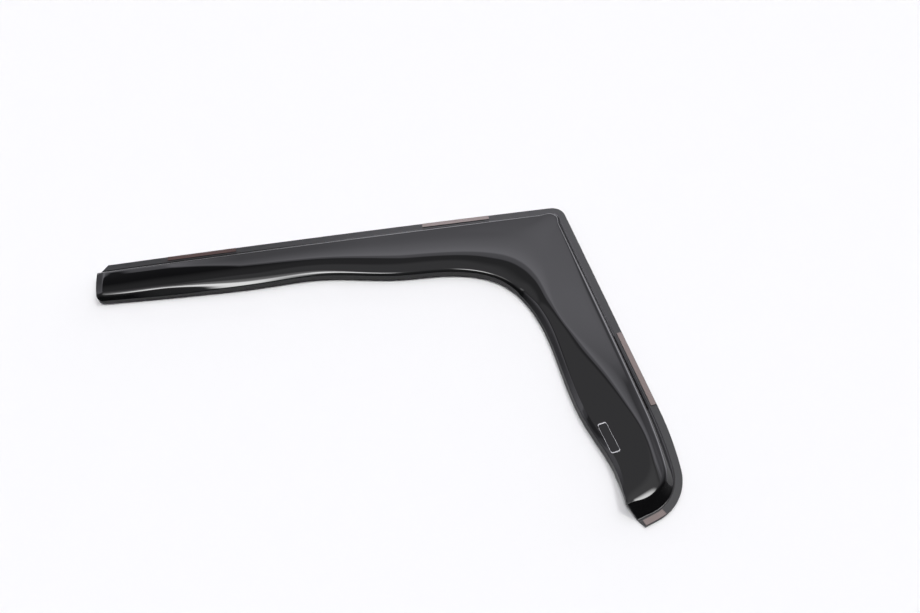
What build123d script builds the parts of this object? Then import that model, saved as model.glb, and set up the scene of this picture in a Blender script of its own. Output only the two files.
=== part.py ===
"""Window rain deflector: one thermoformed smoked acrylic shell with its tape pads and a bare badge.

Frame: millimetres, +Z up. The part lies on its flange, outer face up. The origin is under the
middle of the overall box. X runs along the long arm, towards the corner.
"""
import math
import os
from build123d import *

# Sheet and tape
sheet = 3.0
tape_thick = 1.2
tape_width = 7.2
tape_inset = 0.8
badge_thick = 0.4

# Outer outline of the flange, from the corner
top_length = 700.0
top_bow = 2.3
inner_angle = 95.56
corner_radius = 19.0
pillar_length = 385.0
bend_radius = 450.0
bend_angle = 11.0
lower_radius = 69.0
lower_angle = 67.0
tip_length = 19.0

# Section, with heights above the upper side of the flange
flange_width = 12.5
riser_run = 7.0
step_height = 7.5
crown_height = 14.0
crown_place = 0.55
crown_share = 0.75
lip_top = 10.5
lip_run = 5.5
lip_flare = 8.0
flare_share = 0.45
free_height = 1.0
foot_fillet = 2.5
step_fillet = 5.0
lip_fillet = 5.5

# Lower end, where the riser grows into an end wall
wall_height = 14.5
wall_run = 16.5
wall_flange = 9.0
end_face = 13.0
end_lip = 4.5
end_crown = 0.5

# Free edge, as widths of the arms measured square to the flange. Places on the long arm are
# parts of its length, the others are distances from the corner or below the straight pillar
rear_width = 74.0
middle_width = 83.0
middle_share = 0.80
waist_width = 85.0
waist_shares = (0.67, 0.55)
wave_width = 105.5
wave_share = 0.385
neck_width = 110.5
neck_at = 200.0
elbow_back = 124.0
elbow_down = 141.5
elbow_span = 0.012
pillar_width = 109.5
pillar_at = 190.0
knee_width = 104.5
knee_at = 290.0
shin_width = 102.0
ankle_width = 92.5
ankle_below = 52.0
heel_width = 91.0
heel_below = 80.0
aim_width = 96.5
aim_below = 104.0

# Rear end trim
rear_reach = 12.0
rear_chamfer = 17.0
rear_lean = 6.6
rear_round = 8.0
rear_slack = 0.5
spare = 25.0
cut_height = 60.0

# Tape pads, as distances from the corner, and the badge
tape_front = (117.0, 222.0)
tape_rear = (509.0, 611.0)
tape_pillar = (256.0, 377.0)
tape_end = 31.0
tape_end_gap = 1.0
badge_length = 46.0
badge_width = 12.7
badge_round = 3.0
badge_below = 27.5
badge_margin = 3.0
badge_in = 82.0
badge_turn = 3.5

# Outer outline of the flange as one path from the rear end to the lower tip
flange_top = sheet
turn = 180.0 - inner_angle
setback = corner_radius * math.tan(math.radians(turn) / 2)
down = Vector(math.cos(math.radians(-turn)), math.sin(math.radians(-turn)))
across = Vector(down.Y, -down.X)
top_edge = ThreePointArc((-top_length - spare, 0), (-top_length / 2, top_bow), (-setback, 0))
corner_edge = JernArc(top_edge @ 1, (1, 0), corner_radius, -turn)
pillar_edge = Line(corner_edge @ 1, down * pillar_length)
bend_edge = JernArc(pillar_edge @ 1, pillar_edge % 1, bend_radius, -bend_angle)
lower_edge = JernArc(bend_edge @ 1, bend_edge % 1, lower_radius, -lower_angle)
tip_edge = Line(lower_edge @ 1, lower_edge @ 1 + (lower_edge % 1) * tip_length)
outline = Wire([top_edge, corner_edge, pillar_edge, bend_edge, lower_edge, tip_edge])
tip = tip_edge @ 1


def on_pillar(distance, inside):
    """Point at a distance down the pillar edge and some way inside it."""
    return down * distance + across * inside


# Free edge of the shell, seen from above
end_width = wall_flange + wall_run + end_face + end_lip
end_aim = on_pillar(pillar_length + aim_below, aim_width)
end_place = tip + (end_aim - tip).normalized() * end_width
neck = Vector(-neck_at, -neck_width)
elbow = Vector(-elbow_back, -elbow_down)
pillar_start = on_pillar(pillar_at, pillar_width)
pillar_end = on_pillar(pillar_length, shin_width)
free_edge = Spline(
    (-top_length - spare, -rear_width),
    (-middle_share * top_length, -middle_width),
    *[(-share * top_length, -waist_width) for share in waist_shares],
    (-wave_share * top_length, -wave_width),
    neck,
    elbow,
    pillar_start,
    on_pillar(knee_at, knee_width),
    pillar_end,
    on_pillar(pillar_length + ankle_below, ankle_width),
    on_pillar(pillar_length + heel_below, heel_width),
    end_place,
)


def line_offset(points, amount):
    """Moves each side of an open outline to its right and joins the sides again."""
    sides = []
    for a, b in zip(points, points[1:]):
        length = math.dist(a, b)
        nx = (b[1] - a[1]) / length * amount
        ny = -(b[0] - a[0]) / length * amount
        sides.append(((a[0] + nx, a[1] + ny), (b[0] + nx, b[1] + ny)))
    moved = [sides[0][0]]
    for (a, b), (c, d) in zip(sides, sides[1:]):
        ux, uy = b[0] - a[0], b[1] - a[1]
        vx, vy = d[0] - c[0], d[1] - c[1]
        k = ((c[0] - a[0]) * vy - (c[1] - a[1]) * vx) / (ux * vy - uy * vx)
        moved.append((a[0] + k * ux, a[1] + k * uy))
    moved.append(sides[-1][1])
    return moved


def rounded_run(points, radii):
    """Splits an open outline into lines and fillet arcs, as lists of two or three points."""
    runs = []
    start = points[0]
    for a, p, b, radius in zip(points, points[1:], points[2:], radii):
        ua = ((a[0] - p[0]) / math.dist(a, p), (a[1] - p[1]) / math.dist(a, p))
        ub = ((b[0] - p[0]) / math.dist(b, p), (b[1] - p[1]) / math.dist(b, p))
        half = math.acos(max(-1, min(1, ua[0] * ub[0] + ua[1] * ub[1]))) / 2
        reach = radius / math.tan(half)
        first = (p[0] + ua[0] * reach, p[1] + ua[1] * reach)
        last = (p[0] + ub[0] * reach, p[1] + ub[1] * reach)
        way = (ua[0] + ub[0], ua[1] + ub[1])
        size = math.hypot(*way)
        depth = radius / math.sin(half) - radius
        middle = (p[0] + way[0] / size * depth, p[1] + way[1] / size * depth)
        runs += [(start, first), (first, middle, last)]
        start = last
    runs.append((start, points[-1]))
    return runs


def section(place, way, width, slant, lower, flare):
    """Closed thin section from the flange to the free edge.

    slant stretches the flange where the section crosses it askew, lower goes from 0 to 1 at the
    end wall, and flare spreads the lip.
    """
    foot = (flange_width + (wall_flange - flange_width) * lower) * slant
    rise = step_height + (wall_height - step_height) * lower
    step = foot + (riser_run + (wall_run - riser_run) * lower) * slant
    run = lip_run + (end_lip - lip_run) * lower + lip_flare * flare
    brow = lip_top + (wall_height - lip_top) * lower
    crown = crown_height + (wall_height + end_crown - crown_height) * lower
    bend = width - run
    apex = step + (bend - step) * crown_place
    upper = [(0, 0), (foot, 0), (step, rise), (apex, crown), (bend, brow), (width, free_height)]
    under = line_offset(upper, sheet)
    slopes = [math.atan2(b[1] - a[1], b[0] - a[0]) for a, b in zip(upper, upper[1:])]
    step_room = math.dist(upper[2], upper[3]) - step_fillet * math.tan((slopes[1] - slopes[2]) / 2)
    lip_room = math.dist(upper[3], upper[4]) - lip_fillet * math.tan((slopes[3] - slopes[4]) / 2)
    crown_fillet = crown_share * min(step_room, lip_room) / math.tan((slopes[2] - slopes[3]) / 2)
    bends = [foot_fillet, step_fillet, crown_fillet, lip_fillet]
    signs = [1, -1, -1, -1]
    runs = rounded_run(upper, bends)
    back = rounded_run(under, [r + s * sheet for r, s in zip(bends, signs)])
    runs.append((upper[-1], under[-1]))
    runs += [tuple(reversed(r)) for r in reversed(back)]
    runs.append((under[0], upper[0]))

    def lift(p):
        return Vector(place.X + way.X * p[0], place.Y + way.Y * p[0], flange_top + p[1])

    edges = []
    for r in runs:
        if len(r) == 2:
            edges.append(Edge.make_line(lift(r[0]), lift(r[1])))
        else:
            edges.append(Edge.make_three_point_arc(lift(r[0]), lift(r[1]), lift(r[2])))
    return Wire(edges)


# Stations along both edges: the outer distance and the free-edge place of each section
corner_at = top_edge.length
after_corner = corner_at + corner_edge.length
straight_end = after_corner + pillar_edge.length
neck_out = corner_at - (neck_at - setback)
pillar_zero = after_corner - setback
pillar_out = pillar_zero + pillar_at
neck_in = free_edge.param_at_point(neck)
elbow_in = free_edge.param_at_point(elbow)
pillar_in = free_edge.param_at_point(pillar_start)
shin_in = free_edge.param_at_point(pillar_end)
before = elbow_in - elbow_span
beyond = elbow_in + elbow_span
stations = [(0.0, 0.0)]
seams = [0]


def add_zone(out_to, in_to, count, ease_in=1.0, ease_out=1.0):
    """Adds stations up to the next place on both edges, crowded towards one end by the eases."""
    out_from, in_from = stations[-1]
    for i in range(1, count + 1):
        part = 1 - (1 - (i / count) ** ease_in) ** ease_out
        stations.append((out_from + (out_to - out_from) * part, in_from + (in_to - in_from) * part))
    seams.append(len(stations) - 1)


add_zone(neck_out, neck_in, 10)
add_zone(corner_at, before, 6, ease_out=1.8)
add_zone(after_corner, beyond, 4)
add_zone(pillar_out, pillar_in, 6, ease_in=1.8)
add_zone(straight_end, shin_in, 4)
add_zone(outline.length, 1.0, 8)

sections = []
for out_at, in_at in stations:
    place = outline.position_at(out_at, position_mode=PositionMode.LENGTH)
    along = outline.tangent_at(out_at, position_mode=PositionMode.LENGTH)
    reach = free_edge.position_at(in_at) - place
    way = reach.normalized()
    inward = Vector(along.Y, -along.X)
    slant = 1 / max(0.75, way.dot(inward))
    past = max(0.0, out_at - straight_end) / (outline.length - straight_end)
    lower = past * past * (3 - 2 * past)
    rear = out_at / (flare_share * corner_at)
    flare = math.sin(math.pi * rear) ** 2 if rear < 1 else 0.0
    sections.append(section(place, way, reach.length, slant, lower, flare))
lofts = [Solid.make_loft(sections[a : b + 1]) for a, b in zip(seams, seams[1:])]
shell = lofts[0].fuse(*lofts[1:])

# Rear end: leaning cut, chamfered flange and a rounded lower corner
lean = math.tan(math.radians(rear_lean))
rear_x = -top_length - rear_reach
far_x = rear_x - 2 * spare
rear_low = (rear_x + lean * (rear_width + spare - rear_chamfer), -rear_width - spare)
rear_cut = make_face(
    Polyline(
        (-top_length, spare),
        (-top_length, 0),
        (rear_x, -rear_chamfer),
        rear_low,
        (far_x, rear_low[1]),
        (far_x, spare),
        close=True,
    )
)
shell -= extrude(rear_cut, cut_height)
round_y = -rear_width + rear_round - rear_slack
round_x = rear_x + lean * (-round_y - rear_chamfer) + rear_round
round_cut = Pos(round_x - rear_round, round_y - rear_round) * Rectangle(2 * rear_round, 2 * rear_round)
round_cut -= Pos(round_x, round_y) * Circle(rear_round)
shell -= extrude(round_cut, cut_height)


def pad(start, end):
    """Tape pad on the flange between two distances along the outline."""
    outer, inner = [], []
    for i in range(5):
        at = start + (end - start) * i / 4
        place = outline.position_at(at, position_mode=PositionMode.LENGTH)
        along = outline.tangent_at(at, position_mode=PositionMode.LENGTH)
        inward = Vector(along.Y, -along.X)
        outer.append(place + inward * tape_inset)
        inner.append(place + inward * (tape_inset + tape_width))
    sides = [Spline(*outer), Line(outer[-1], inner[-1]), Spline(*reversed(inner)), Line(inner[0], outer[0])]
    return Pos(0, 0, flange_top) * extrude(make_face(sides), tape_thick)


corner_out = corner_at + setback
pads = {
    "tape_front": pad(corner_out - tape_front[1], corner_out - tape_front[0]),
    "tape_rear": pad(corner_out - tape_rear[1], corner_out - tape_rear[0]),
    "tape_pillar": pad(pillar_zero + tape_pillar[0], pillar_zero + tape_pillar[1]),
    "tape_end": pad(outline.length - tape_end, outline.length - tape_end_gap),
}

# Badge: a thin layer that follows the face
badge_at = on_pillar(pillar_length + badge_below, badge_in)
badge_plan = RectangleRounded(badge_length, badge_width, badge_round)
badge_way = Pos(badge_at.X, badge_at.Y, flange_top) * Rot(0, 0, badge_turn - turn)
bed_plan = RectangleRounded(badge_length + 2 * badge_margin, badge_width + 2 * badge_margin, badge_round)
badge_bed = shell & badge_way * extrude(bed_plan, cut_height)
badge = (Pos(0, 0, badge_thick) * badge_bed & badge_way * extrude(badge_plan, cut_height)) - badge_bed

# Frame: the middle of the overall box, on the plane that the flange rests on
pieces = {"shell": shell, "badge": badge, **pads}
boxes = [piece.bounding_box() for piece in pieces.values()]
middle_x = (min(b.min.X for b in boxes) + max(b.max.X for b in boxes)) / 2
middle_y = (min(b.min.Y for b in boxes) + max(b.max.Y for b in boxes)) / 2
os.makedirs("parts", exist_ok=True)
for name, piece in pieces.items():
    export_step(Pos(-middle_x, -middle_y) * piece, f"parts/{name}.step")
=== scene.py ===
"""Window rain deflector of smoked acrylic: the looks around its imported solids.

The shell is worked out as one smooth surface from the sizes of the solid shell. The tape strips lie
on its flange and the badge film follows its face. A plain studio stands around them. Lengths are
millimetres until a mesh is made.
"""
from __future__ import annotations

import logging
import math
from dataclasses import dataclass, field
from enum import Enum

import bpy
import numpy as np
from bpy.types import Material, Node, NodeSocket, NodeTree, Object
from mathutils import Matrix, Vector

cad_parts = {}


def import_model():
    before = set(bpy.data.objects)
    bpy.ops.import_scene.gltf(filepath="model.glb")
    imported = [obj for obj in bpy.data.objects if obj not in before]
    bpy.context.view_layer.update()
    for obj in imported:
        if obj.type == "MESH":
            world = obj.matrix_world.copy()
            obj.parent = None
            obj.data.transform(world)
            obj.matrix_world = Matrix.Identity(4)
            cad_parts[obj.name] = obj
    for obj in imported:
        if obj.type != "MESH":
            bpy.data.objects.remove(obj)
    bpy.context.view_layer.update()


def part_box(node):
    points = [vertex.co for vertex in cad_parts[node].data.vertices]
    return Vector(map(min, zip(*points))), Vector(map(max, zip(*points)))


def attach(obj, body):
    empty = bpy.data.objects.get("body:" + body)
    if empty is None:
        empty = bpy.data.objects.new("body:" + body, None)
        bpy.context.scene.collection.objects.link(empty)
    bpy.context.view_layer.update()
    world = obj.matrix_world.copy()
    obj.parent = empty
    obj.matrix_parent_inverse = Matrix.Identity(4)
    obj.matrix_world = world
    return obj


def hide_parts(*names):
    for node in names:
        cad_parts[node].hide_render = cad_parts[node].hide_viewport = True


LOG = logging.getLogger("deflector")
MM = 0.001
SHARP_ANGLE = math.radians(38)
Array = np.ndarray
Pair = tuple[float, float]
Triple = tuple[float, float, float]
Values = tuple[float, ...]
Levels = tuple[Pair, ...]

# Both ends of each tape strip along the flange, counted from the corner or from the lower end.
TAPES = {
    "tape_rear": (-611.0, -509.0),
    "tape_front": (-222.0, -117.0),
    "tape_pillar": (256.0, 377.0),
    "tape_end": (-31.0, -1.0),
}


class Slot(Enum):
    """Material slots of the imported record."""

    ACRYLIC = "smoked_acrylic"
    BADGE = "badge_film"
    TAPE = "foam_tape"


def linear(code: str) -> tuple[float, float, float, float]:
    """Turns an sRGB hex colour into linear RGBA.

    Args:
        code: colour as a hash and six hex digits.

    Returns:
        Linear red, green, blue and an alpha of 1.
    """
    parts = np.array([int(code[i : i + 2], 16) for i in (1, 3, 5)]) / 255.0
    flat = np.where(parts <= 0.04045, parts / 12.92, ((parts + 0.055) / 1.055) ** 2.4)
    return (*flat.tolist(), 1.0)


def add_node(
    tree: NodeTree,
    kind: str,
    settings: dict[str | int, object] | None = None,
    links: dict[str | int, Node | NodeSocket] | None = None,
) -> Node:
    """Adds a node with its settings and links.

    The sockets of a mix node share their names, so they go by number: 0 is the share, 2 and 3 are
    values, 6 and 7 are colours. Its result is output 0 for values and 2 for colours.

    Args:
        tree: node tree that gets the node.
        kind: Blender's name of the node type, after ShaderNode.
        settings: node properties by name, or input values by socket name or number.
        links: what feeds each input, by its name or number. A node stands for its first output.

    Returns:
        The new node.
    """
    node = tree.nodes.new("ShaderNode" + kind)
    for name, value in (settings or {}).items():
        if isinstance(name, str) and hasattr(node, name):
            setattr(node, name, value)
        else:
            node.inputs[name].default_value = value
    for name, source in (links or {}).items():
        socket = source.outputs[0] if isinstance(source, Node) else source
        tree.links.new(socket, node.inputs[name])
    return node


def new_material(name: str) -> tuple[Material, NodeTree]:
    """Makes an empty node material.

    Args:
        name: name of the material.

    Returns:
        The material and its node tree.
    """
    material = bpy.data.materials.new(name)
    material.use_nodes = True
    material.node_tree.nodes.clear()
    return material, material.node_tree


def unit(vectors: Array) -> Array:
    """Scales vectors to length 1.

    Args:
        vectors: vectors in the last axis.

    Returns:
        The scaled vectors.
    """
    return vectors / np.linalg.norm(vectors, axis=-1, keepdims=True)


def smooth(share: Array) -> Array:
    """Eases from 0 to 1 while the share goes from 0 to 1, and stays there outside.

    Args:
        share: shares, also below 0 or over 1.

    Returns:
        Three times the square less twice the cube of each clipped share.
    """
    share = np.clip(share, 0, 1)
    return share * share * (3 - 2 * share)


def eased(values: Array, zone: Pair) -> Array:
    """Eases from 0 at the start of a zone to 1 at its end.

    Args:
        values: values, also outside the zone.
        zone: start and end.

    Returns:
        Eased shares.
    """
    return smooth((values - zone[0]) / (zone[1] - zone[0]))


def blurred(values: Array, sigma: float) -> Array:
    """Smooths evenly spaced values with a bell curve, and keeps straight ends straight.

    Args:
        values: values in a row.
        sigma: width of the bell in steps.

    Returns:
        As many smoothed values.
    """
    reach = int(4 * sigma) + 1
    bell = np.exp(-0.5 * (np.arange(-reach, reach + 1) / sigma) ** 2)
    padded = np.pad(values, reach, mode="reflect", reflect_type="odd")
    return np.convolve(padded, bell / bell.sum(), mode="valid")


def curve_through(points: Array, count: int) -> tuple[Array, Array, Array]:
    """Natural cubic curve through points, over the chord length scaled to 1.

    Args:
        points: points of the plan, in order.
        count: number of samples.

    Returns:
        The points' own parameters, the samples' parameters and the samples.
    """
    chords = np.hypot(*np.diff(points, axis=0).T)
    knots = np.concatenate([[0.0], np.cumsum(chords)]) / chords.sum()
    gaps = np.diff(knots)
    slopes = np.diff(points, axis=0) / gaps[:, None]
    inner = np.arange(1, len(knots) - 1)
    system = np.eye(len(knots))
    system[inner, inner - 1] = gaps[:-1]
    system[inner, inner] = 2 * (gaps[:-1] + gaps[1:])
    system[inner, inner + 1] = gaps[1:]
    right = np.zeros_like(points)
    right[1:-1] = 6 * np.diff(slopes, axis=0)
    bends = np.linalg.solve(system, right)
    at = np.linspace(0.0, 1.0, count)
    k = np.clip(np.searchsorted(knots, at, side="right") - 1, 0, len(gaps) - 1)
    past = (at - knots[k])[:, None]
    gap = gaps[k][:, None]
    rise = slopes[k] - gap * (2 * bends[k] + bends[k + 1]) / 6
    curve = points[k] + past * rise + past**2 * bends[k] / 2
    curve = curve + past**3 * (bends[k + 1] - bends[k]) / (6 * gap)
    return knots, at, curve


def grid_faces(rows: int, columns: int, wrap: bool = False) -> Array:
    """Quads between the neighbours of a grid of vertices.

    Args:
        rows: rows of the grid.
        columns: columns of the grid.
        wrap: whether the last column joins the first.

    Returns:
        Vertex numbers of the quads.
    """
    index = np.arange(rows * columns).reshape(rows, columns)
    if wrap:
        index = np.concatenate([index, index[:, :1]], axis=1)
    corners = [index[:-1, :-1], index[1:, :-1], index[1:, 1:], index[:-1, 1:]]
    return np.stack(corners, axis=-1).reshape(-1, 4)


def tube_faces(rows: int, columns: int) -> Array:
    """Quads of a closed bar: a wrapped grid with both ends closed across its first half of columns.

    Args:
        rows: rows along the bar.
        columns: columns around it, an even number that runs out and back.

    Returns:
        Vertex numbers of the quads.
    """
    half = columns // 2
    out = np.arange(half - 1)
    back = columns - 1 - out
    start = np.stack([out, out + 1, back - 1, back], axis=-1)
    end = start[:, ::-1] + (rows - 1) * columns
    return np.concatenate([grid_faces(rows, columns, wrap=True), start, end])


def make_piece(name: str, points: Array, faces: Array, uv: Array) -> Object:
    """Makes a mesh object whose faces point outwards, smooth but for its true edges.

    Args:
        name: name of the piece.
        points: vertices in millimetres, in the part's frame.
        faces: vertex numbers of the quads.
        uv: one pair of surface coordinates for each vertex.

    Returns:
        The object, at the origin.
    """
    a, b, c, d = (points[faces[:, i]] for i in range(4))
    if (np.cross(c - a, d - b) * (a + b + c + d)).sum() < 0:
        faces = faces[:, ::-1]
    mesh = bpy.data.meshes.new(name)
    mesh.from_pydata((points * MM).tolist(), [], faces.tolist())
    layer = mesh.uv_layers.new(name="Surface")
    layer.data.foreach_set("uv", uv[faces.ravel()].astype(np.float32).ravel())
    mesh.polygons.foreach_set("use_smooth", np.ones(len(faces), dtype=bool))
    mesh.set_sharp_from_angle(angle=SHARP_ANGLE)
    mesh.update()
    piece = bpy.data.objects.new(name, mesh)
    bpy.context.scene.collection.objects.link(piece)
    return piece


@dataclass(frozen=True)
class SmokedAcrylic:
    """Thermoformed smoked acrylic: a near-black sheet with a clear gloss.

    The mould leaves a very slight waviness, which bends reflections a little, and handling leaves
    faint patches that are less sharp. The flange is satin, and its colour is painted paler than the
    face's, as painted light of the white table showing through the thin sheet.
    """

    name: str = "Smoked acrylic"
    colour: str = "#0b0b0c"
    ior: float = 1.49
    gloss: Pair = (0.008, 0.03)
    satin: float = 0.34
    # Painted light: the flange's paler colour stands for the white table glowing through the sheet.
    painted_glow_colour: str = "#303031"
    patch_mm: float = 60.0
    patch_span: Pair = (0.35, 0.7)
    wave_mm: float = 45.0
    wave_depth_mm: float = 0.012

    def make(self) -> Material:
        """Builds the material. The second surface coordinate is 1 on the flange and 0 elsewhere.

        Returns:
            The material.
        """
        material, tree = new_material(self.name)
        coords = add_node(tree, "TexCoord")
        where = {"Vector": coords.outputs["Object"]}
        patches = {"Scale": 1 / (self.patch_mm * MM), "Detail": 3.0, "Roughness": 0.55}
        patch = add_node(tree, "TexNoise", patches, where)
        span = {"From Min": self.patch_span[0], "From Max": self.patch_span[1]}
        span |= {"To Min": self.gloss[0], "To Max": self.gloss[1]}
        gloss = add_node(tree, "MapRange", span, {"Value": patch})
        surface = add_node(tree, "SeparateXYZ", links={"Vector": coords.outputs["UV"]})
        flange = surface.outputs["Y"]
        satin = {"data_type": "FLOAT", 3: self.satin}
        rough = add_node(tree, "Mix", satin, {0: flange, 2: gloss})
        waves = {"Scale": 1 / (self.wave_mm * MM), "Detail": 1.0}
        wave = add_node(tree, "TexNoise", waves, where)
        depth = {"Strength": 1.0, "Distance": self.wave_depth_mm * MM}
        bump = add_node(tree, "Bump", depth, {"Height": wave})
        # The flange gets the painted glow colour: the table's light seen through the sheet.
        tones = {"data_type": "RGBA", 6: linear(self.colour), 7: linear(self.painted_glow_colour)}
        tone = add_node(tree, "Mix", tones, {0: flange})
        looks = {"Base Color": tone.outputs[2], "Roughness": rough, "Normal": bump}
        skin = add_node(tree, "BsdfPrincipled", {"IOR": self.ior}, looks)
        add_node(tree, "OutputMaterial", links={"Surface": skin})
        return material


@dataclass(frozen=True)
class FoamTape:
    """Acrylic foam tape under a dark brown film liner with a soft sheen. The default liner colours
    are painted pale, a painted reflection of the bright back wall in the liner's gloss.

    The liner carries faint cross ribs from its roll, and the dark foam shows on the cut sides.
    """

    name: str = "Foam tape with film liner"
    # Painted reflection: both liner colours are paler than the liner's own brown.
    liner: str = "#8b7e7b"
    liner_shade: str = "#796c69"
    foam: str = "#2c2827"
    ior: float = 1.5
    rib_mm: float = 2.0
    rib_depth_mm: float = 0.05
    rib_strength: float = 0.15
    liner_from_mm: float = 4.04
    foam_rough: float = 0.75
    liner_rough: float = 0.16

    def make(self) -> Material:
        """Builds the material.

        The ribs follow the strip by its own surface coordinates, which are millimetres. A wave
        texture repeats each tenth of pi of its scaled coordinate.

        Returns:
            The material.
        """
        material, tree = new_material(self.name)
        coords = add_node(tree, "TexCoord")
        place = add_node(tree, "SeparateXYZ", links={"Vector": coords.outputs["Object"]})
        over = {"operation": "GREATER_THAN", 1: self.liner_from_mm * MM}
        on_top = add_node(tree, "Math", over, {0: place.outputs["Z"]})
        bands = {"bands_direction": "X", "Scale": math.pi / (10 * self.rib_mm)}
        bands |= {"Distortion": 0.6, "Detail": 1.0}
        wave = add_node(tree, "TexWave", bands, {"Vector": coords.outputs["UV"]})
        ribs = wave.outputs["Fac"]
        liners = {"data_type": "RGBA", 6: linear(self.liner), 7: linear(self.liner_shade)}
        film = add_node(tree, "Mix", liners, {0: ribs})
        foam = {"data_type": "RGBA", 6: linear(self.foam)}
        colour = add_node(tree, "Mix", foam, {0: on_top, 7: film.outputs[2]})
        sheens = {"To Min": self.foam_rough, "To Max": self.liner_rough}
        sheen = add_node(tree, "MapRange", sheens, {"Value": on_top})
        depth = {"Strength": self.rib_strength, "Distance": self.rib_depth_mm * MM}
        bump = add_node(tree, "Bump", depth, {"Height": ribs})
        looks = {"Base Color": colour.outputs[2], "Roughness": sheen, "Normal": bump}
        skin = add_node(tree, "BsdfPrincipled", {"IOR": self.ior}, looks)
        add_node(tree, "OutputMaterial", links={"Surface": skin})
        return material


@dataclass(frozen=True)
class BadgeFilm:
    """Glossy dark vinyl film with a thin pale outline. Its field stays bare."""

    name: str = "Printed vinyl film"
    field_colour: str = "#101012"
    line_colour: str = "#c9c9cc"
    line_from: float = 0.90
    line_to: float = 0.955
    ior: float = 1.5
    gloss: float = 0.08

    def make(self) -> Material:
        """Builds the material. The outline is a band of the film's own distance from its middle.

        Returns:
            The material.
        """
        material, tree = new_material(self.name)
        coords = add_node(tree, "TexCoord")
        surface = add_node(tree, "SeparateXYZ", links={"Vector": coords.outputs["UV"]})
        spread = {0: surface.outputs["Y"]}
        outside = add_node(tree, "Math", {"operation": "GREATER_THAN", 1: self.line_from}, spread)
        inside = add_node(tree, "Math", {"operation": "LESS_THAN", 1: self.line_to}, spread)
        line = add_node(tree, "Math", {"operation": "MULTIPLY"}, {0: outside, 1: inside})
        tones = {"data_type": "RGBA", 6: linear(self.field_colour), 7: linear(self.line_colour)}
        tone = add_node(tree, "Mix", tones, {0: line})
        settings = {"IOR": self.ior, "Roughness": self.gloss}
        skin = add_node(tree, "BsdfPrincipled", settings, {"Base Color": tone.outputs[2]})
        add_node(tree, "OutputMaterial", links={"Surface": skin})
        return material


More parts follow.
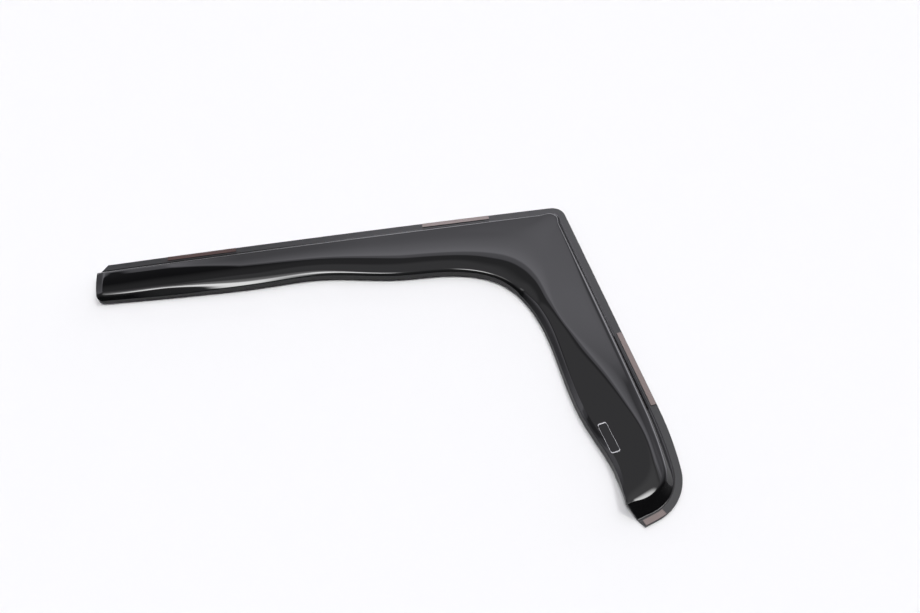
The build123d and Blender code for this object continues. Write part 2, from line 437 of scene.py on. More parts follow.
@dataclass
class Shell:
    """The thermoformed sheet: flange, step, crowned face and turned-down free edge.

    A section runs from the flange outline to the free edge. It is a polyline with rounded corners,
    and its sizes change slowly along the outline. Zones are starts and ends along the outline.
    """

    # Flange outline, from the rear end round the corner and down the pillar.
    sheet: float = 3.0
    top_length: float = 700.0
    top_bow: float = 2.3
    inner_angle: float = 95.56
    corner_radius: float = 19.0
    pillar_length: float = 385.0
    bend_radius: float = 450.0
    bend_angle: float = 11.0
    lower_radius: float = 69.0
    lower_angle: float = 67.0
    tip_length: float = 18.1
    path_step: float = 0.25
    outline_soft: float = 2.5

    # Flange, step and crown. The crown's places are shares of the face, at marks past the corner.
    flange_width: float = 12.5
    slant_floor: float = 0.6
    riser_run: float = 7.0
    step_height: float = 7.5
    crown_height: float = 14.0
    crown_place: Values = (0.55, 0.55, 0.72, 0.78, 0.88, 0.86, 0.62, 0.36, 0.24, 0.13, 0.25, 0.6)
    crown_marks: Values = (
        -260.0, -120.0, 0.0, 110.0, 180.0, 225.0, 262.0, 300.0, 350.0, 410.0, 490.0, 560.0,
    )
    crown_soft: float = 26.0
    crown_share: float = 0.95
    crown_reach: float = 15.0
    crown_slack: float = 60.0
    slack_zone: Pair = (110.0, 220.0)
    least_room: float = 0.05
    room_power: int = 4

    # Turned-down lip and its hem. The hem drops on the flared, steep and soft stretches.
    lip_top: float = 10.5
    lip_run: float = 5.5
    lip_flare: float = 6.5
    flare_rise: float = 2.0
    flare_zone: Pair = (205.0, 430.0)
    steep_zone: Pair = (115.0, 240.0)
    thin_zone: Pair = (30.0, 120.0)
    thin_share: float = 0.5
    roll_from: float = 190.0
    roll_run: float = 3.5
    roll_rise: float = 1.0
    soft_zone: Pair = (0.0, 80.0)
    soft_run: float = 3.0
    soft_fillet: float = 7.0
    free_height: float = 1.0
    hem_run: float = 2.0
    hem_end: float = 0.85
    hem_steep: float = 0.5
    hem_share: float = 0.7
    hem_drops: Triple = (0.12, 0.22, 0.35)

    # Radii of the section's corners, and how much smaller they get at the lower end.
    foot_fillet: float = 2.5
    step_fillet: float = 12.0
    pillar_fillet: float = 7.0
    pillar_zone: Pair = (60.0, 160.0)
    wall_fillet: float = 16.0
    lip_fillet: float = 6.5
    flare_fillet: float = 33.0
    steep_tight: float = 0.8
    roll_fillet: float = -2.5
    hem_fillet: float = 2.0
    end_tight: float = 0.96
    hem_tight: float = 0.9

    # Wall at the lower end.
    wall_height: float = 14.5
    wall_run: float = 15.0
    wall_flange: float = 9.0
    wall_ease: float = 2.6
    ease_powers: tuple[int, int] = (6, 3)
    end_power: int = 4
    tip_flange: float = 2.7
    tip_run: float = 2.5
    end_face: float = 1.9
    end_lip: float = 0.6
    end_free: float = 13.0
    end_crown: float = 0.1

    # Underside: how much thinner each point gets at the lower end, and how its radii change.
    thin_points: Values = (0.0, 0.0, 0.0, 0.3, 0.7, 0.85, 0.9)
    corner_turns: Values = (1.0, -1.0, -1.0, -1.0, -1.0)
    least_radius: float = 0.1
    under_blend: float = 0.3

    # Free edge: places along the arms and widths.
    rear_width: float = 74.0
    middle: Pair = (0.80, 83.0)
    waist: Triple = (0.67, 0.55, 85.0)
    wave: Pair = (0.385, 105.5)
    neck: Pair = (200.0, 110.5)
    elbow: Pair = (124.0, 141.5)
    elbow_span: float = 0.03
    elbow_soft: float = 32.0
    elbow_least: float = 0.01
    elbow_power: float = 1.5
    elbow_reach: float = 200.0
    elbow_full: float = 1.25
    elbow_inset: Pair = (32.0, 8.0)
    pillar: Pair = (190.0, 109.5)
    knee: Pair = (290.0, 104.5)
    shin_width: float = 102.0
    ankle: Pair = (52.0, 92.5)
    heel: Pair = (80.0, 91.0)
    aim: Pair = (116.9, 94.6)
    edge_samples: int = 4000
    pair_soft: float = 9.0

    # Rear end.
    rear_reach: float = 12.0
    rear_chamfer: float = 17.0
    rear_lean: float = 6.6
    rear_round: float = 8.0
    rear_slack: float = 0.5
    rear_hem: float = 9.0
    rear_drop: float = 0.11
    rear_soft: float = 0.01
    spare: float = 25.0
    trim_fade: float = 200.0
    trim_tries: int = 12

    # Trimmed edges and the grid: how close its rows lie in general, at the corner, at the lower
    # end and at the rear end, and the columns in each run of the section.
    edge_round: float = 0.45
    edge_segments: int = 2
    edge_angle: float = 50.0
    rows: int = 400
    row_crowd: tuple[float, float, float, float] = (0.30, 0.75, 0.25, 0.35)
    crowd_reach: float = 40.0
    runs: tuple[int, ...] = (7, 7, 4, 12, 8, 20, 8, 12, 3, 6, 6)
    corner: Array = field(init=False)

    def __post_init__(self) -> None:
        """Works out the outline, the free edge, how they pair up, and the corner's place."""
        self._trace_outline()
        self._trace_free_edge()
        share = [np.arange(count) / count for count in self.runs]
        share[-1] = np.linspace(0.0, 1.0, self.runs[-1] + 1)
        self.column_share = np.concatenate(share)
        self.column_run = np.repeat(np.arange(len(self.runs)), [len(s) for s in share])
        high = np.array(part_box("shell")[1]) / MM
        self.corner = np.array([*(high[:2] - self.path_xy.max(0)), self.sheet])

    def _trace_outline(self) -> None:
        """Flange outline: the curvature of its arcs, a little softened, added up along it."""
        turn = math.radians(180.0 - self.inner_angle)
        setback = self.corner_radius * math.tan(turn / 2)
        half = (self.top_length + self.spare - setback) / 2
        off = (self.spare + setback) / 2
        sag = self.top_bow / (1 - (off / half) ** 2)
        tilt = math.asin(2 * half * sag / (half**2 + sag**2))
        top = tilt * (half**2 + sag**2) / sag
        bend = math.radians(self.bend_angle)
        lower = math.radians(self.lower_angle)
        arcs = [self.bend_radius * bend, self.lower_radius * lower]
        straight = self.pillar_length - setback
        lengths = np.array([top, self.corner_radius * turn, straight, *arcs, self.tip_length])
        turns = np.array([-2 * tilt, tilt - turn, 0.0, -bend, -lower, 0.0])
        ends = np.cumsum(lengths)
        self.setback = setback
        self.turn = turn
        self.corner_at, self.after_corner, self.straight_end = ends[:3]
        self.length = ends[-1]
        steps = int(self.length / self.path_step)
        step = self.length / steps
        middles = (np.arange(steps) + 0.5) * step
        part = np.clip(np.searchsorted(ends, middles), 0, len(ends) - 1)
        curvature = blurred((turns / lengths)[part], self.outline_soft / step)
        heading = tilt + np.concatenate([[0.0], np.cumsum(curvature * step)])
        mean = (heading[1:] + heading[:-1]) / 2
        strides = np.stack([np.cos(mean), np.sin(mean)], -1) * step
        self.path_at = np.linspace(0.0, self.length, steps + 1)
        self.path_xy = np.concatenate([[[0.0, 0.0]], np.cumsum(strides, 0)])
        self.path_xy += [-self.top_length - self.spare, 0.0]
        self.path_heading = heading

    def on_pillar(self, distance: float, inside: float) -> list[float]:
        """Plan point beside the pillar's edge.

        Args:
            distance: distance down the pillar's edge from the corner.
            inside: distance inside that edge.

        Returns:
            The point relative to the corner.
        """
        c, s = math.cos(-self.turn), math.sin(-self.turn)
        return [c * distance + s * inside, s * distance - c * inside]

    def _trace_free_edge(self) -> None:
        """Free edge: one smooth curve through its widths, paired with the outline zone by zone."""
        tip = self.path_xy[-1]
        end_width = (
            self.wall_flange + self.tip_flange + self.wall_run
            + self.tip_run + self.end_face + self.end_lip
        )
        upper = (self.middle, self.waist[::2], self.waist[1:], self.wave)
        lower = ((0.0, self.shin_width), self.ankle, self.heel, self.aim)
        *low, aim = [self.on_pillar(self.pillar_length + far, inside) for far, inside in lower]
        points = np.array(
            [
                [-self.top_length - self.spare, -self.rear_width],
                *([-share * self.top_length, -width] for share, width in upper),
                [-self.neck[0], -self.neck[1]],
                [-self.elbow[0], -self.elbow[1]],
                self.on_pillar(*self.pillar),
                self.on_pillar(*self.knee),
                *low,
                tip + unit(np.array(aim) - tip) * end_width,
            ]
        )
        knots, self.edge_at, self.edge_xy = curve_through(points, self.edge_samples)
        # Numbers of these points among the ones above.
        neck, elbow, pillar, shin = knots[[5, 6, 7, 9]]
        out_marks = [
            0.0,
            self.corner_at - (self.neck[0] - self.setback),
            self.corner_at,
            self.after_corner,
            self.after_corner - self.setback + self.pillar[0],
            self.straight_end,
            self.length,
        ]
        span = self.elbow_span
        in_marks = [0.0, neck, elbow - span, elbow + span, pillar, shin, 1.0]
        step = self.path_at[1]
        crown = np.interp(self.path_at - self.after_corner, self.crown_marks, self.crown_place)
        self.crown_at = blurred(crown, self.crown_soft / step)
        pairs = np.interp(self.path_at, out_marks, in_marks)
        self.pair_at = blurred(pairs, self.pair_soft / step)

    def section(self, along: Array) -> tuple[Array, Array, Array, Array, Array]:
        """Section polylines at distances along the outline.

        Each size is its plain value plus others times eased shares: lower and end grow towards the
        lower end, flare, steep and thin towards the rear end, roll, soft and pillar along the
        pillar. The crown's radius is the one that fits a soft minimum of what its two neighbours
        leave free and of the crown's own reach.

        Args:
            along: distances from the rear end of the path.

        Returns:
            Plan places on the outline, plan directions inwards, the seven section points as
            distance inside and height over the flange, the five corner radii, and the end's share.
        """
        place = np.stack([np.interp(along, self.path_at, self.path_xy[:, k]) for k in (0, 1)], -1)
        heading = np.interp(along, self.path_at, self.path_heading)
        pair = np.interp(along, self.path_at, self.pair_at)
        edge = np.stack([np.interp(pair, self.edge_at, self.edge_xy[:, k]) for k in (0, 1)], -1)
        width = np.linalg.norm(edge - place, axis=-1)
        way = (edge - place) / width[..., None]
        square = way[..., 0] * np.sin(heading) - way[..., 1] * np.cos(heading)
        slant = 1 / np.maximum(self.slant_floor, square)
        lower = eased(along, (self.straight_end, self.length))
        end = lower**self.end_power
        flare = 1 - eased(along, self.flare_zone)
        steep = 1 - eased(along, self.steep_zone)
        thin = 1 - eased(along, self.thin_zone)
        roll = eased(along, (self.after_corner + self.roll_from, self.straight_end))
        soft = eased(along - self.corner_at, self.soft_zone) * (1 - roll)
        pillar = eased(along - self.after_corner, self.pillar_zone) * (1 - lower)
        slack = 1 - eased(along - self.after_corner, self.slack_zone)
        foot = self.flange_width + (self.wall_flange - self.flange_width) * lower
        foot = (foot + self.tip_flange * end) * slant
        riser = self.riser_run + (self.wall_run - self.riser_run) * lower + self.tip_run * end
        step = foot + riser * slant
        rise = self.step_height + (self.wall_height - self.step_height) * lower
        ease, late = self.ease_powers
        rise = rise - self.wall_ease * lower**ease * (1 - end**late)
        run = self.lip_run + self.lip_flare * flare + self.roll_run * roll + self.soft_run * soft
        run = run * (1 - self.thin_share * thin)
        run = run + (self.end_lip - run) * end
        brow = self.lip_top + self.flare_rise * flare + self.roll_rise * roll
        brow = brow + (self.wall_height - brow) * lower
        free = self.free_height + (self.end_free - self.free_height) * end
        hem = self.hem_run * (1 - self.hem_end * end) * (1 - self.hem_steep * steep)
        flared, steeper, softer = self.hem_drops
        hem_share = self.hem_share - flared * flare - steeper * steep - softer * soft
        hem_top = free + (brow - free) * hem_share
        crown = self.crown_height + (self.wall_height + self.end_crown - self.crown_height) * lower
        bend = width - run
        apex = step + (bend - step) * np.interp(along, self.path_at, self.crown_at)
        zero = np.zeros_like(width)
        inside = np.stack([zero, foot, step, apex, bend, width - hem, width], -1)
        height = np.stack([zero, zero, rise, crown, brow, hem_top, free], -1)
        points = np.stack([inside, height], -1)
        sides = np.diff(points, axis=-2)
        slopes = np.arctan2(sides[..., 1], sides[..., 0])
        size = np.linalg.norm(sides, axis=-1)
        half_turns = np.tan((slopes[..., :-1] - slopes[..., 1:]) / 2)
        tight = 1 - self.end_tight * end
        step_fillet = self.step_fillet + self.pillar_fillet * pillar
        step_fillet = (step_fillet + (self.wall_fillet - self.step_fillet) * lower) * tight
        lip_fillet = self.lip_fillet + self.flare_fillet * flare * (1 - self.steep_tight * steep)
        lip_fillet = (lip_fillet + self.roll_fillet * roll + self.soft_fillet * soft) * tight
        step_room = np.maximum(size[..., 2] - step_fillet * half_turns[..., 1], self.least_room)
        lip_room = np.maximum(size[..., 3] - lip_fillet * half_turns[..., 3], self.least_room)
        cap = self.crown_reach + self.crown_slack * slack
        power = self.room_power
        room = (step_room**-power + lip_room**-power + cap**-power) ** (-1 / power)
        crown_fillet = self.crown_share * room / half_turns[..., 2]
        hem_fillet = self.hem_fillet * (1 - self.hem_tight * end)
        foot_fillet = zero + self.foot_fillet
        radii = np.stack([foot_fillet, step_fillet, crown_fillet, lip_fillet, hem_fillet], -1)
        return place, way, points, radii, end

    @staticmethod
    def rounding(points: Array, radii: Array) -> tuple[Array, Array, Array, Array]:
        """Fillets at the inner corners of polylines.

        Args:
            points: polylines of seven points.
            radii: radii of the five inner corners.

        Returns:
            First and last point of each fillet, its centre and the angle that it sweeps.
        """
        corners = points[..., 1:-1, :]
        back = unit(points[..., :-2, :] - corners)
        on = unit(points[..., 2:, :] - corners)
        half = np.arccos(np.clip((back * on).sum(-1), -1, 1)) / 2
        reach = (radii / np.tan(half))[..., None]
        centre = corners + unit(back + on) * (radii / np.sin(half))[..., None]
        return corners + back * reach, corners + on * reach, centre, np.pi - 2 * half

    def skin(self, along: Array, under: bool) -> Array:
        """One side of the sheet over a grid: each column has a share of one run of its section.

        Near the lower end the underside changes over to the outer side lowered by the thickness.

        Args:
            along: distances along the outline, as rows by columns.
            under: whether it is the underside, the section moved in by the sheet's thickness.

        Returns:
            Points relative to the corner, as rows by columns by three.
        """
        place, way, points, radii, end = self.section(along)
        laid = self.walk(points, radii)
        if under:
            lowered = laid - np.array([0.0, self.sheet])
            sides = unit(np.diff(points, axis=-2))
            normal = np.stack([sides[..., 1], -sides[..., 0]], -1)
            joint = normal[..., 1:, :] + normal[..., :-1, :]
            joint = joint / (1 + (normal[..., 1:, :] * normal[..., :-1, :]).sum(-1))[..., None]
            shift = np.concatenate([normal[..., :1, :], joint, normal[..., -1:, :]], -2)
            thick = self.sheet * (1 - end[..., None] * np.array(self.thin_points))
            points = points + thick[..., None] * shift
            radii = radii + thick[..., 1:-1] * np.array(self.corner_turns)
            laid = self.walk(points, np.maximum(radii, self.least_radius))
            laid = laid + smooth(end / self.under_blend)[..., None] * (lowered - laid)
        plan = place + way * laid[..., :1]
        return np.concatenate([plan, laid[..., 1:]], -1)

    def walk(self, points: Array, radii: Array) -> Array:
        """Section places of the grid's columns: straight runs and fillets in turn.

        Args:
            points: section polylines for each grid point.
            radii: their corner radii.

        Returns:
            Distance inside the outline and height over the flange for each grid point.
        """
        first, last, centre, sweep = self.rounding(points, radii)
        places = np.empty(points.shape[:2] + (2,))
        for run in range(len(self.runs)):
            pick = self.column_run == run
            share = self.column_share[pick][None, :, None]
            k = run // 2
            if run % 2:
                a = first[:, pick, k] - centre[:, pick, k]
                b = last[:, pick, k] - centre[:, pick, k]
                angle = sweep[:, pick, k, None]
                turned = np.sin((1 - share) * angle) * a + np.sin(share * angle) * b
                places[:, pick] = centre[:, pick, k] + turned / np.sin(angle)
            else:
                a = last[:, pick, k - 1] if k else points[:, pick, 0]
                b = first[:, pick, k] if k < first.shape[2] else points[:, pick, -1]
                places[:, pick] = a + (b - a) * share
        return places

    def height(self, along: Array, inside: Array) -> tuple[Array, Array]:
        """Plan places and heights of the outer side at distances inside the outline.

        Args:
            along: distances along the outline.
            inside: distances inside it.

        Returns:
            Plan points and heights over the flange.
        """
        place, way, points, radii, _ = self.section(along)
        first, last, centre, _ = self.rounding(points, radii)
        level = np.zeros_like(inside)
        for k in range(points.shape[-2] - 1):
            a, b = points[..., k, :], points[..., k + 1, :]
            share = (inside - a[..., 0]) / (b[..., 0] - a[..., 0])
            on_run = (share >= 0) & (share <= 1)
            level = np.where(on_run, a[..., 1] + (b[..., 1] - a[..., 1]) * share, level)
        for k in range(radii.shape[-1]):
            on_arc = (inside > first[..., k, 0]) & (inside < last[..., k, 0])
            square = radii[..., k] ** 2 - (inside - centre[..., k, 0]) ** 2
            # The flange's corner is hollow and the others are domed.
            sign = 1 if k else -1
            arc = centre[..., k, 1] + sign * np.sqrt(np.maximum(square, 0))
            level = np.where(on_arc, arc, level)
        return place + way * inside[..., None], level

    def rear_line(self, y: Array) -> Array:
        """Plan trim of the rear end: chamfer, leaning line and rounded corner.

        Args:
            y: plan distances from the flange outline, inwards below 0.

        Returns:
            The trim's x at each y.
        """
        lean = math.tan(math.radians(self.rear_lean))
        rear_x = -self.top_length - self.rear_reach
        x = np.where(
            y > -self.rear_chamfer,
            -self.top_length + np.minimum(y, 0) * self.rear_reach / self.rear_chamfer,
            rear_x + lean * (-y - self.rear_chamfer),
        )
        round_y = -self.rear_width + self.rear_round - self.rear_slack
        round_x = rear_x + lean * (-round_y - self.rear_chamfer) + self.rear_round
        below = np.clip(round_y - y, 0, self.rear_round)
        arc = round_x - np.sqrt(self.rear_round**2 - below**2)
        return np.where(y < round_y, arc, x)

    def side(self, under: bool) -> Array:
        """One side of the sheet with its rear trim and a soft corner.

        The rows crowd round the corner and both ends. The trim moves the first rows of each column
        along the outline. Round the corner the columns of the face are smoothed along it with a
        bell curve, so that no hip shows there. The rear end is turned down by a share of its
        height.

        Args:
            under: whether it is the underside.

        Returns:
            Points relative to the corner, as rows by columns by three.
        """
        middle = (self.corner_at + self.after_corner) / 2
        plain, at_corner, at_end, at_rear = self.row_crowd
        crowd = plain + at_corner * np.exp(-(((self.path_at - middle) / self.crowd_reach) ** 2))
        rear = np.exp(-((self.path_at / self.crowd_reach) ** 2))
        crowd += at_end * (self.path_at > self.straight_end) + at_rear * rear
        total = np.concatenate([[0.0], np.cumsum(crowd[1:])])
        rows = np.interp(np.linspace(0, total[-1], self.rows), total, self.path_at)
        trim = np.full((1, len(self.column_share)), self.spare)
        for _ in range(self.trim_tries):
            now = self.skin(trim, under)
            trim = trim + self.rear_line(now[..., 1]) - now[..., 0]
        along = rows[:, None] + trim * np.clip(1 - rows[:, None] / self.trim_fade, 0, 1)
        points = self.skin(along, under)
        line = points[:, [0, -1], :2].mean(1)
        travel = np.concatenate([[0.0], np.cumsum(np.linalg.norm(np.diff(line, axis=0), axis=-1))])
        away = np.abs(travel - np.interp(middle, rows, travel))
        near = smooth(self.elbow_full - away / self.elbow_reach)
        hip = points[np.argmin(np.abs(rows - middle))]
        spread = np.linalg.norm(hip[:, :2] - hip[0, :2], axis=-1)
        outer, inner = self.elbow_inset
        share = np.clip((spread - outer) / (spread[-1] - inner - outer), 0, 1)
        sigma = self.elbow_least + self.elbow_soft * np.sin(np.pi * share) ** self.elbow_power
        apart = (travel[:, None] - travel[None, :])[None] / sigma[:, None, None]
        weight = np.exp(-0.5 * apart**2) * np.gradient(travel)
        weight /= weight.sum(-1, keepdims=True)
        soft = np.einsum("jkl,ljc->kjc", weight, points[..., :2])
        points[..., :2] += near[:, None, None] * (soft - points[..., :2])
        inward = 1 - (points[..., 0] - self.rear_line(points[..., 1])) / self.rear_hem
        turned = np.clip((inward + np.sqrt(inward**2 + self.rear_soft)) / 2, 0, 1)
        stand = np.maximum(points[..., 2] + (self.sheet if under else 0.0), 0)
        points[..., 2] -= self.rear_drop * turned * stand
        return points

    def build(self) -> Object:
        """Joins the outer side and the underside into one closed sheet.

        Returns:
            The shell's object.
        """
        ring = np.concatenate([self.side(False), self.side(True)[:, ::-1]], 1)
        points = ring.reshape(-1, 3) + self.corner
        # 1 on the flange, which is satin and gets the painted glow of the table seen through the
        # sheet.
        satin = np.where(self.column_run == 0, 1.0, 0.0)
        satin = np.broadcast_to(np.concatenate([satin, satin[::-1]]), ring.shape[:2])
        uv = np.stack([np.zeros_like(satin), satin], -1).reshape(-1, 2)
        piece = make_piece("acrylic_shell", points, tube_faces(*ring.shape[:2]), uv)
        bevel = piece.modifiers.new("Trimmed edge", "BEVEL")
        bevel.width = self.edge_round * MM
        bevel.segments = self.edge_segments
        bevel.limit_method = "ANGLE"
        bevel.angle_limit = math.radians(self.edge_angle)
        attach(piece, "root")
        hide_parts("shell")
        return piece


@dataclass
class TapeStrip:
    """A strip of foam tape along the flange, with its liner on top."""

    node: str
    start: float
    end: float
    shell: Shell
    inset: float = 0.8
    width: float = 7.2
    thick: float = 1.2
    liner: float = 0.16
    overhang: float = 0.12
    rounded: Pair = (0.06, 0.05)
    fill_from: float = 0.5
    fill_count: int = 4
    spacing: float = 1.5

    def build(self) -> Object:
        """Carries the strip's outline along the flange: foam sides, then a liner that stands proud.

        Returns:
            The strip's object.
        """
        rows = int((self.end - self.start) / self.spacing)
        along = np.linspace(self.start, self.end, rows)
        step = self.thick - self.liner
        edge = self.overhang
        side, drop = self.rounded
        liner = [[0.0, step], [0.0, self.thick - drop], [side, self.thick]]
        fill = np.linspace(self.fill_from, self.width / 2, self.fill_count)
        top = np.stack([fill, np.full_like(fill, self.thick)], -1)
        out = np.concatenate([[[edge, 0.0], [edge, step]], liner, top])
        back = out[::-1] * [-1, 1] + [self.width, 0]
        loop = np.concatenate([out, back[1:]])
        low = np.linspace(self.width - edge, edge, len(loop))
        loop = np.concatenate([loop, np.stack([low, np.zeros(len(loop))], -1)])
        path = self.shell
        place = np.stack([np.interp(along, path.path_at, path.path_xy[:, k]) for k in (0, 1)], -1)
        heading = np.interp(along, path.path_at, path.path_heading)
        inward = np.stack([np.sin(heading), -np.cos(heading)], -1)
        plan = place[:, None] + inward[:, None] * (self.inset + loop[None, :, :1])
        rise = np.broadcast_to(loop[None, :, 1:], plan.shape[:2] + (1,))
        points = np.concatenate([plan, rise], -1).reshape(-1, 3) + self.shell.corner
        uv = np.stack(np.broadcast_arrays((along - along[0])[:, None], loop[None, :, 0]), -1)
        faces = tube_faces(rows, len(loop))
        piece = make_piece(f"{self.node}_strip", points, faces, uv.reshape(-1, 2))
        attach(piece, "root")
        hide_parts(self.node)
        return piece


@dataclass
class Badge:
    """A thin film on the face near the lower end."""

    shell: Shell
    length: float = 46.0
    width: float = 12.7
    corner_round: float = 3.0
    below: float = 27.5
    inside: float = 82.0
    turn: float = 3.5
    thick: float = 0.4
    seat: float = 0.02
    squareness: float = 4.0
    core_share: float = 0.02
    ring_power: float = 0.6
    rim_lift: float = 0.004
    rim_slope: float = 40.0
    probe: float = 0.5
    tries: int = 8
    rings: int = 24
    spokes: int = 160

    def build(self) -> Object:
        """Lays rings of a rounded rectangle on the face, over it and back beneath.

        The places on the face are found by stepping along its own two directions until their plan
        meets the film's.

        Returns:
            The film's object.
        """
        angle = np.linspace(0, 2 * np.pi, self.spokes, endpoint=False)
        core = np.array([self.length, self.width]) / 2 - self.corner_round
        way = np.stack([np.cos(angle), np.sin(angle)], -1)
        square = np.minimum(1, np.abs(way) * self.squareness)
        rim = np.sign(way) * core * square + self.corner_round * way
        share = np.linspace(self.core_share, 1.0, self.rings) ** self.ring_power
        top = rim[None] * share[:, None, None]
        flat = np.concatenate([top, top[::-1]])
        ring = np.concatenate([share, share[::-1]])
        over = self.thick * np.minimum(1, (1.0 - share + self.rim_lift) * self.rim_slope)
        lift = np.concatenate([over, np.full(self.rings, self.seat)])
        c, s = math.cos(math.radians(self.turn)), math.sin(math.radians(self.turn))
        down = flat[..., 0] * c + flat[..., 1] * s
        across = flat[..., 1] * c - flat[..., 0] * s
        shell = self.shell
        middle = np.array(shell.on_pillar(shell.pillar_length + self.below, self.inside))
        beside = np.array(shell.on_pillar(0.0, 1.0))
        ahead = np.array(shell.on_pillar(1.0, 0.0))
        wanted = middle + down[..., None] * ahead + across[..., None] * beside
        start = np.full_like(down, shell.straight_end + self.below)
        at = np.stack([start, np.full_like(down, self.inside)], -1)
        for _ in range(self.tries):
            plan, level = shell.height(at[..., 0], at[..., 1])
            along_way = shell.height(at[..., 0] + self.probe, at[..., 1])[0] - plan
            inner_way = shell.height(at[..., 0], at[..., 1] + self.probe)[0] - plan
            slopes = np.stack([along_way, inner_way], -1) / self.probe
            at = at + np.linalg.solve(slopes, (wanted - plan)[..., None])[..., 0]
        points = np.concatenate([wanted, (level + lift[:, None])[..., None]], -1)
        uv = np.stack(np.broadcast_arrays(angle[None] / (2 * np.pi), ring[:, None]), -1)
        points = points.reshape(-1, 3) + shell.corner
        faces = tube_faces(2 * self.rings, self.spokes)
        piece = make_piece("badge_film", points, faces, uv.reshape(-1, 2))
        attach(piece, "root")
        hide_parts("badge")
        return piece


@dataclass(frozen=True)
class SoftLight:
    """A round light in the studio's sky, even in its core and fading to its rim, in degrees."""

    way: Triple
    core: float
    rim: float
    strength: float


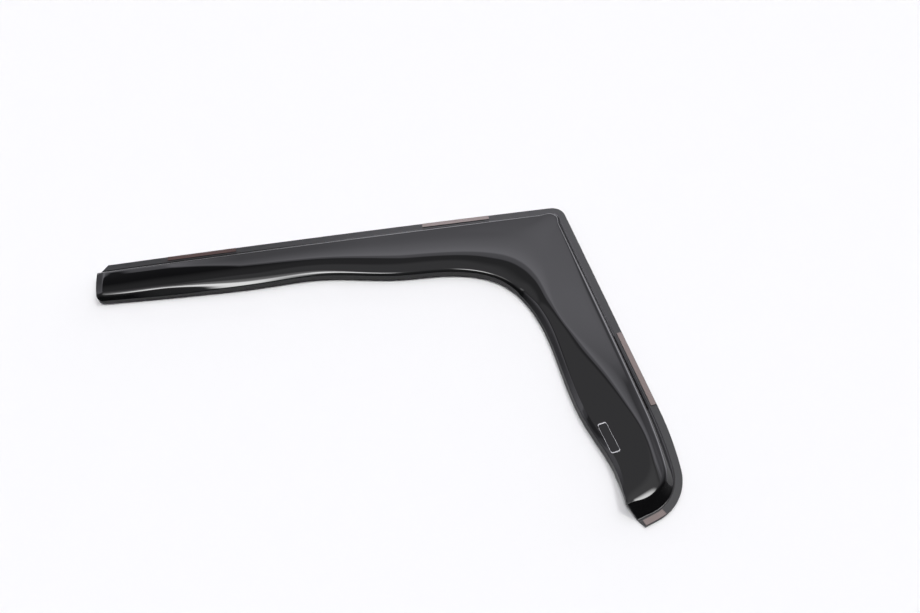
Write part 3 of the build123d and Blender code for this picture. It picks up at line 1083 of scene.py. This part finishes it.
@dataclass
class Studio:
    """White table, soft surroundings with four round lights, and the camera.

    The levels are places and greys along the height or the width of the sky.
    """

    corner: Array
    camera_offset: Triple = (-291.6, -883.7, 915.7)
    pitch: float = 51.80
    turn: float = 8.112
    roll: float = -0.02663
    focal_px: float = 812.0
    image_px: float = 920.0
    sensor_mm: float = 36.0
    clip_m: Pair = (0.01, 60.0)
    table_colour: str = "#f5f5f5"
    table_drop: float = 0.05
    table_reach: float = 9000.0
    lights: tuple[SoftLight, ...] = (
        SoftLight((-0.21, -0.17, 0.96), 1.0, 10.2, 19.0),
        SoftLight((-0.26, -0.03, 0.965), 2.0, 17.0, 3.2),
        SoftLight((0.40, 0.05, 0.914), 1.0, 10.0, 18.0),
        SoftLight((0.40, 0.18, 0.90), 2.0, 18.0, 0.6),
    )
    room_strength: float = 4.0
    side_span: Pair = (-0.05, 0.4)
    back_levels: Levels = (
        (0.0, 1.0), (0.09, 0.9), (0.26, 0.17), (0.45, 0.20), (0.60, 0.34), (0.70, 0.50),
        (0.745, 0.62), (0.760, 0.66), (0.769, 0.37), (0.795, 0.31), (0.800, 0.03), (1.0, 0.02),
    )
    ceiling_levels: Levels = (
        (0.62, 0.0), (0.70, 0.05), (0.76, 0.08), (0.815, 0.085), (0.835, 0.175), (1.0, 0.19),
    )
    front_levels: Levels = (
        (0.0, 0.06), (0.2, 0.012), (0.65, 0.012), (0.80, 0.06), (0.88, 0.09), (1.0, 0.17),
    )
    gap_levels: Levels = (
        (0.0, 0.8), (0.33, 0.7), (0.37, 0.52), (0.396, 0.5), (0.418, 0.58), (0.455, 0.78),
        (0.5, 0.97), (0.575, 1.0), (0.725, 0.97), (0.76, 1.0), (0.795, 0.9), (0.82, 0.55),
        (0.87, 1.0),
    )
    slant_levels: Levels = (
        (0.0, 0.0), (0.28, 0.0), (0.345, 0.48), (0.3775, 0.44), (0.396, 0.335), (0.418, 0.17),
        (0.455, 0.10), (0.5125, 0.026), (0.575, 0.0),
    )
    tint: Triple = (0.985, 0.98, 1.02)

    def table(self) -> None:
        """A wide flat table of matt white card under the part."""
        side = np.linspace(-self.table_reach, self.table_reach, 3)
        x, y = np.meshgrid(side, side)
        points = np.stack([x, y, np.full_like(x, -self.table_drop)], -1).reshape(-1, 3)
        mesh = bpy.data.meshes.new("table")
        mesh.from_pydata((points * MM).tolist(), [], grid_faces(*x.shape)[:, ::-1].tolist())
        table = bpy.data.objects.new("table", mesh)
        bpy.context.scene.collection.objects.link(table)
        material, tree = new_material("White card")
        card = add_node(tree, "BsdfDiffuse", {"Color": linear(self.table_colour)})
        add_node(tree, "OutputMaterial", links={"Surface": card})
        mesh.materials.append(material)

    def surroundings(self) -> None:
        """A studio painted as light by direction, with no lamp objects.

        The back wall brightens upwards to its top edge, which comes down in a slant at the wall's
        left end, and its brightness changes along its width. The ceiling over it is grey, and the
        room behind the camera is dark. Four soft round lights hang overhead.
        """
        world = bpy.data.worlds.new("Studio")
        bpy.context.scene.world = world
        world.use_nodes = True
        tree = world.node_tree
        tree.nodes.clear()
        way = add_node(tree, "TexCoord").outputs["Generated"]
        axes = add_node(tree, "SeparateXYZ", links={"Vector": way})
        high = axes.outputs["Z"]
        across = add_node(tree, "MapRange", {"From Min": -1.0}, {"Value": axes.outputs["X"]})
        slant = add_node(tree, "ValToRGB", links={"Fac": across})
        level = add_node(tree, "Math", links={0: high, 1: slant})
        back, gap, ceiling, front = (
            add_node(tree, "ValToRGB", links={"Fac": at}) for at in (level, across, high, high)
        )
        self._fill_ramp(slant, self.slant_levels)
        self._fill_ramp(back, self.back_levels)
        self._fill_ramp(gap, self.gap_levels)
        self._fill_ramp(ceiling, self.ceiling_levels)
        self._fill_ramp(front, self.front_levels)
        wall = back.outputs["Color"]
        for blend, other in (("MULTIPLY", gap), ("LIGHTEN", ceiling)):
            settings = {"data_type": "RGBA", "blend_type": blend, 0: 1.0}
            wall = add_node(tree, "Mix", settings, {6: wall, 7: other}).outputs[2]
        span = {"From Min": self.side_span[0], "From Max": self.side_span[1]}
        side = add_node(tree, "MapRange", span, {"Value": axes.outputs["Y"]})
        room = add_node(tree, "Mix", {"data_type": "RGBA"}, {0: side, 6: front, 7: wall})
        strength = {"Strength": self.room_strength}
        sky = add_node(tree, "Background", strength, {"Color": room.outputs[2]})
        for light in self.lights:
            toward = {"operation": "DOT_PRODUCT", 1: Vector(light.way).normalized()}
            facing = add_node(tree, "VectorMath", toward, {0: way})
            fading = {
                "interpolation_type": "SMOOTHSTEP",
                "From Min": math.cos(math.radians(light.rim)),
                "From Max": math.cos(math.radians(light.core)),
                "To Max": light.strength,
            }
            fade = add_node(tree, "MapRange", fading, {"Value": facing.outputs["Value"]})
            lit = add_node(tree, "Background", links={"Strength": fade})
            sky = add_node(tree, "AddShader", links={0: sky, 1: lit})
        add_node(tree, "OutputWorld", links={"Surface": sky})

    def _fill_ramp(self, node: Node, stops: Levels) -> None:
        """Sets grey stops of a ramp.

        Args:
            node: the ramp node.
            stops: places and grey levels.
        """
        ramp = node.color_ramp
        while len(ramp.elements) < len(stops):
            ramp.elements.new(1.0)
        for element, (place, level) in zip(ramp.elements, stops):
            element.position = place
            element.color = (*(level * part for part in self.tint), 1.0)

    def camera(self) -> None:
        """The camera at the photograph's view: turned, tilted down and slightly rolled."""
        data = bpy.data.cameras.new("Camera")
        data.sensor_width = self.sensor_mm
        data.lens = self.sensor_mm * self.focal_px / self.image_px
        data.clip_start, data.clip_end = self.clip_m
        view = bpy.data.objects.new("Camera", data)
        bpy.context.scene.collection.objects.link(view)
        a, p = math.radians(self.turn), math.radians(self.pitch)
        right = Vector((math.cos(a), -math.sin(a), 0.0))
        ahead = Vector((math.sin(a) * math.cos(p), math.cos(a) * math.cos(p), -math.sin(p)))
        up = right.cross(ahead)
        c, s = math.cos(self.roll), math.sin(self.roll)
        x_axis, y_axis = c * right + s * up, c * up - s * right
        turned = Matrix((x_axis, y_axis, -ahead)).transposed()
        place = Vector((self.corner + np.array(self.camera_offset)) * MM)
        view.matrix_world = Matrix.Translation(place) @ turned.to_4x4()
        bpy.context.scene.camera = view


def main() -> None:
    """Builds the pieces and the studio."""
    logging.basicConfig(level=logging.INFO, format="%(name)s: %(message)s")
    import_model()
    bpy.context.scene.view_settings.view_transform = "Standard"
    shell = Shell()
    corner = shell.corner_at + shell.setback
    pillar = shell.after_corner - shell.setback
    strips = [
        TapeStrip(node, origin + start, origin + end, shell)
        for (node, (start, end)), origin in zip(
            TAPES.items(), (corner, corner, pillar, shell.length)
        )
    ]
    acrylic = SmokedAcrylic().make()
    # One tape in two copies: the pale one holds a painted reflection of the bright back wall; the
    # rear strip's brown copy shows the liner's own colour.
    tape = FoamTape().make()
    brown = FoamTape("Foam tape with brown liner", liner="#5c4a48", liner_shade="#4f403e").make()
    film = BadgeFilm().make()
    dressed = [(shell.build(), acrylic), (Badge(shell).build(), film)]
    dressed += [(strip.build(), brown if strip.node == "tape_rear" else tape) for strip in strips]
    for piece, material in dressed:
        piece.data.materials.append(material)
        LOG.info("%s: %d faces", piece.name, len(piece.data.polygons))
    studio = Studio(shell.corner)
    studio.table()
    studio.surroundings()
    studio.camera()
    bpy.context.view_layer.update()


if __name__ == "__main__":
    main()
